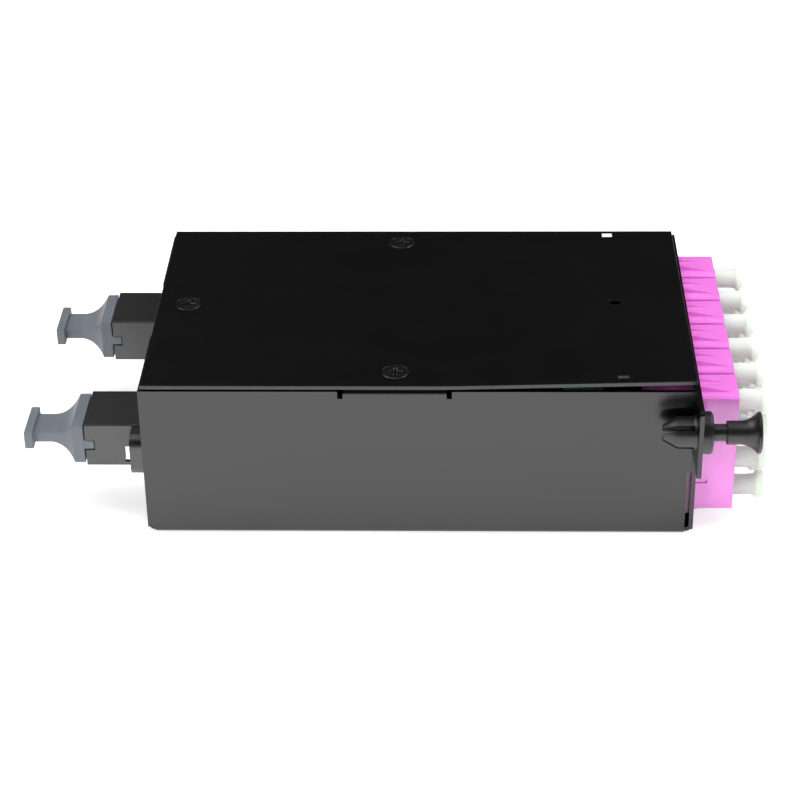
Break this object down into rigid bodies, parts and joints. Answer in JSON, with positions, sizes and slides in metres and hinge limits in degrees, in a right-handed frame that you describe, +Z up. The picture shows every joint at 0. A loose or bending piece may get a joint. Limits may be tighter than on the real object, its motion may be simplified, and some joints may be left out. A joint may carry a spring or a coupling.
{
  "type": "fibre cassette",
  "caption": "Folded black steel fibre cassette with a screwed lid, MPO adapters at the rear, magenta quad LC adapters in front, dust caps and push latches.",
  "frame": {"origin": "on the underside of the base, in the middle of the folded tray", "axes": "+X out of the front plate with the LC ports, +Z up through the lid, -Y is the right-hand side"},
  "size_m": [0.1398, 0.0792, 0.0335],
  "materials": {
    "black_powder_coat": "satin black powder coat on folded steel",
    "black_zinc": "black zinc plated screw",
    "zinc_steel": "bright zinc plated sheet steel",
    "spring_steel": "bare spring steel",
    "zirconia": "polished white ceramic",
    "magenta_plastic": "moulded magenta plastic, fine satin",
    "plug_plastic": "moulded beige plastic",
    "clear_cap_plastic": "translucent natural polyethylene",
    "black_plastic": "moulded black plastic",
    "grey_cap_plastic": "moulded blue-grey plastic",
    "black_nylon": "moulded black nylon",
    "white_nylon": "moulded white nylon",
    "aqua_jacket": "aqua fibre buffer"
  },
  "bodies": {
    "cassette": {"base_tray": "black_powder_coat", "top_cover": "black_powder_coat", "lc_adapter_1": "magenta_plastic", "lc_adapter_2": "magenta_plastic", "lc_adapter_3": "magenta_plastic", "lc_adapter_4": "magenta_plastic", "lc_adapter_5": "magenta_plastic", "lc_adapter_6": "magenta_plastic", "cover_screws": "black_zinc", "adapter_bracket": "zinc_steel", "slot_pad": "white_nylon", "alignment_sleeves": "zirconia", "lc_plugs_1": "plug_plastic", "lc_plugs_2": "plug_plastic", "lc_plugs_3": "plug_plastic", "lc_plugs_4": "plug_plastic", "lc_plugs_5": "plug_plastic", "lc_plugs_6": "plug_plastic", "mpo_clip_right": "spring_steel", "mpo_plug_right": "plug_plastic", "trunk_cord_right": "aqua_jacket", "breakout_right": "black_plastic", "fibres_right": "aqua_jacket", "mpo_clip_left": "spring_steel", "mpo_plug_left": "plug_plastic", "trunk_cord_left": "aqua_jacket", "breakout_left": "black_plastic", "fibres_left": "aqua_jacket", "mpo_adapter_right": "black_plastic", "mpo_adapter_left": "black_plastic", "latch_grommet_right": "black_nylon", "latch_grommet_left": "black_nylon"},
    "latch_right": {"latch_plunger_right": "black_nylon"},
    "latch_left": {"latch_plunger_left": "black_nylon"},
    "mpo_cap_right": {"mpo_cap_right": "grey_cap_plastic"},
    "mpo_cap_left": {"mpo_cap_left": "grey_cap_plastic"},
    "lc_cap_1_1": {"lc_cap_1_1": "clear_cap_plastic"},
    "lc_cap_1_2": {"lc_cap_1_2": "clear_cap_plastic"},
    "lc_cap_1_3": {"lc_cap_1_3": "clear_cap_plastic"},
    "lc_cap_1_4": {"lc_cap_1_4": "clear_cap_plastic"},
    "lc_cap_2_1": {"lc_cap_2_1": "clear_cap_plastic"},
    "lc_cap_2_2": {"lc_cap_2_2": "clear_cap_plastic"},
    "lc_cap_2_3": {"lc_cap_2_3": "clear_cap_plastic"},
    "lc_cap_2_4": {"lc_cap_2_4": "clear_cap_plastic"},
    "lc_cap_3_1": {"lc_cap_3_1": "clear_cap_plastic"},
    "lc_cap_3_2": {"lc_cap_3_2": "clear_cap_plastic"},
    "lc_cap_3_3": {"lc_cap_3_3": "clear_cap_plastic"},
    "lc_cap_3_4": {"lc_cap_3_4": "clear_cap_plastic"},
    "lc_cap_4_1": {"lc_cap_4_1": "clear_cap_plastic"},
    "lc_cap_4_2": {"lc_cap_4_2": "clear_cap_plastic"},
    "lc_cap_4_3": {"lc_cap_4_3": "clear_cap_plastic"},
    "lc_cap_4_4": {"lc_cap_4_4": "clear_cap_plastic"},
    "lc_cap_5_1": {"lc_cap_5_1": "clear_cap_plastic"},
    "lc_cap_5_2": {"lc_cap_5_2": "clear_cap_plastic"},
    "lc_cap_5_3": {"lc_cap_5_3": "clear_cap_plastic"},
    "lc_cap_5_4": {"lc_cap_5_4": "clear_cap_plastic"},
    "lc_cap_6_1": {"lc_cap_6_1": "clear_cap_plastic"},
    "lc_cap_6_2": {"lc_cap_6_2": "clear_cap_plastic"},
    "lc_cap_6_3": {"lc_cap_6_3": "clear_cap_plastic"},
    "lc_cap_6_4": {"lc_cap_6_4": "clear_cap_plastic"}
  },
  "joints": [
    {"name": "latch_right_push", "type": "slide", "parent": "cassette", "child": "latch_right", "axis": [1, 0, 0], "range_m": [-0.0025, 0]},
    {"name": "latch_left_push", "type": "slide", "parent": "cassette", "child": "latch_left", "axis": [1, 0, 0], "range_m": [-0.0025, 0]},
    {"name": "mpo_cap_right_pull", "type": "slide", "parent": "cassette", "child": "mpo_cap_right", "axis": [-1, 0, 0], "range_m": [0, 0.008]},
    {"name": "mpo_cap_left_pull", "type": "slide", "parent": "cassette", "child": "mpo_cap_left", "axis": [-1, 0, 0], "range_m": [0, 0.008]},
    {"name": "lc_cap_1_1_pull", "type": "slide", "parent": "cassette", "child": "lc_cap_1_1", "axis": [1, 0, 0], "range_m": [0, 0.01]},
    {"name": "lc_cap_1_2_pull", "type": "slide", "parent": "cassette", "child": "lc_cap_1_2", "axis": [1, 0, 0], "range_m": [0, 0.01]},
    {"name": "lc_cap_1_3_pull", "type": "slide", "parent": "cassette", "child": "lc_cap_1_3", "axis": [1, 0, 0], "range_m": [0, 0.01]},
    {"name": "lc_cap_1_4_pull", "type": "slide", "parent": "cassette", "child": "lc_cap_1_4", "axis": [1, 0, 0], "range_m": [0, 0.01]},
    {"name": "lc_cap_2_1_pull", "type": "slide", "parent": "cassette", "child": "lc_cap_2_1", "axis": [1, 0, 0], "range_m": [0, 0.01]},
    {"name": "lc_cap_2_2_pull", "type": "slide", "parent": "cassette", "child": "lc_cap_2_2", "axis": [1, 0, 0], "range_m": [0, 0.01]},
    {"name": "lc_cap_2_3_pull", "type": "slide", "parent": "cassette", "child": "lc_cap_2_3", "axis": [1, 0, 0], "range_m": [0, 0.01]},
    {"name": "lc_cap_2_4_pull", "type": "slide", "parent": "cassette", "child": "lc_cap_2_4", "axis": [1, 0, 0], "range_m": [0, 0.01]},
    {"name": "lc_cap_3_1_pull", "type": "slide", "parent": "cassette", "child": "lc_cap_3_1", "axis": [1, 0, 0], "range_m": [0, 0.01]},
    {"name": "lc_cap_3_2_pull", "type": "slide", "parent": "cassette", "child": "lc_cap_3_2", "axis": [1, 0, 0], "range_m": [0, 0.01]},
    {"name": "lc_cap_3_3_pull", "type": "slide", "parent": "cassette", "child": "lc_cap_3_3", "axis": [1, 0, 0], "range_m": [0, 0.01]},
    {"name": "lc_cap_3_4_pull", "type": "slide", "parent": "cassette", "child": "lc_cap_3_4", "axis": [1, 0, 0], "range_m": [0, 0.01]},
    {"name": "lc_cap_4_1_pull", "type": "slide", "parent": "cassette", "child": "lc_cap_4_1", "axis": [1, 0, 0], "range_m": [0, 0.01]},
    {"name": "lc_cap_4_2_pull", "type": "slide", "parent": "cassette", "child": "lc_cap_4_2", "axis": [1, 0, 0], "range_m": [0, 0.01]},
    {"name": "lc_cap_4_3_pull", "type": "slide", "parent": "cassette", "child": "lc_cap_4_3", "axis": [1, 0, 0], "range_m": [0, 0.01]},
    {"name": "lc_cap_4_4_pull", "type": "slide", "parent": "cassette", "child": "lc_cap_4_4", "axis": [1, 0, 0], "range_m": [0, 0.01]},
    {"name": "lc_cap_5_1_pull", "type": "slide", "parent": "cassette", "child": "lc_cap_5_1", "axis": [1, 0, 0], "range_m": [0, 0.01]},
    {"name": "lc_cap_5_2_pull", "type": "slide", "parent": "cassette", "child": "lc_cap_5_2", "axis": [1, 0, 0], "range_m": [0, 0.01]},
    {"name": "lc_cap_5_3_pull", "type": "slide", "parent": "cassette", "child": "lc_cap_5_3", "axis": [1, 0, 0], "range_m": [0, 0.01]},
    {"name": "lc_cap_5_4_pull", "type": "slide", "parent": "cassette", "child": "lc_cap_5_4", "axis": [1, 0, 0], "range_m": [0, 0.01]},
    {"name": "lc_cap_6_1_pull", "type": "slide", "parent": "cassette", "child": "lc_cap_6_1", "axis": [1, 0, 0], "range_m": [0, 0.01]},
    {"name": "lc_cap_6_2_pull", "type": "slide", "parent": "cassette", "child": "lc_cap_6_2", "axis": [1, 0, 0], "range_m": [0, 0.01]},
    {"name": "lc_cap_6_3_pull", "type": "slide", "parent": "cassette", "child": "lc_cap_6_3", "axis": [1, 0, 0], "range_m": [0, 0.01]},
    {"name": "lc_cap_6_4_pull", "type": "slide", "parent": "cassette", "child": "lc_cap_6_4", "axis": [1, 0, 0], "range_m": [0, 0.01]}
  ]
}
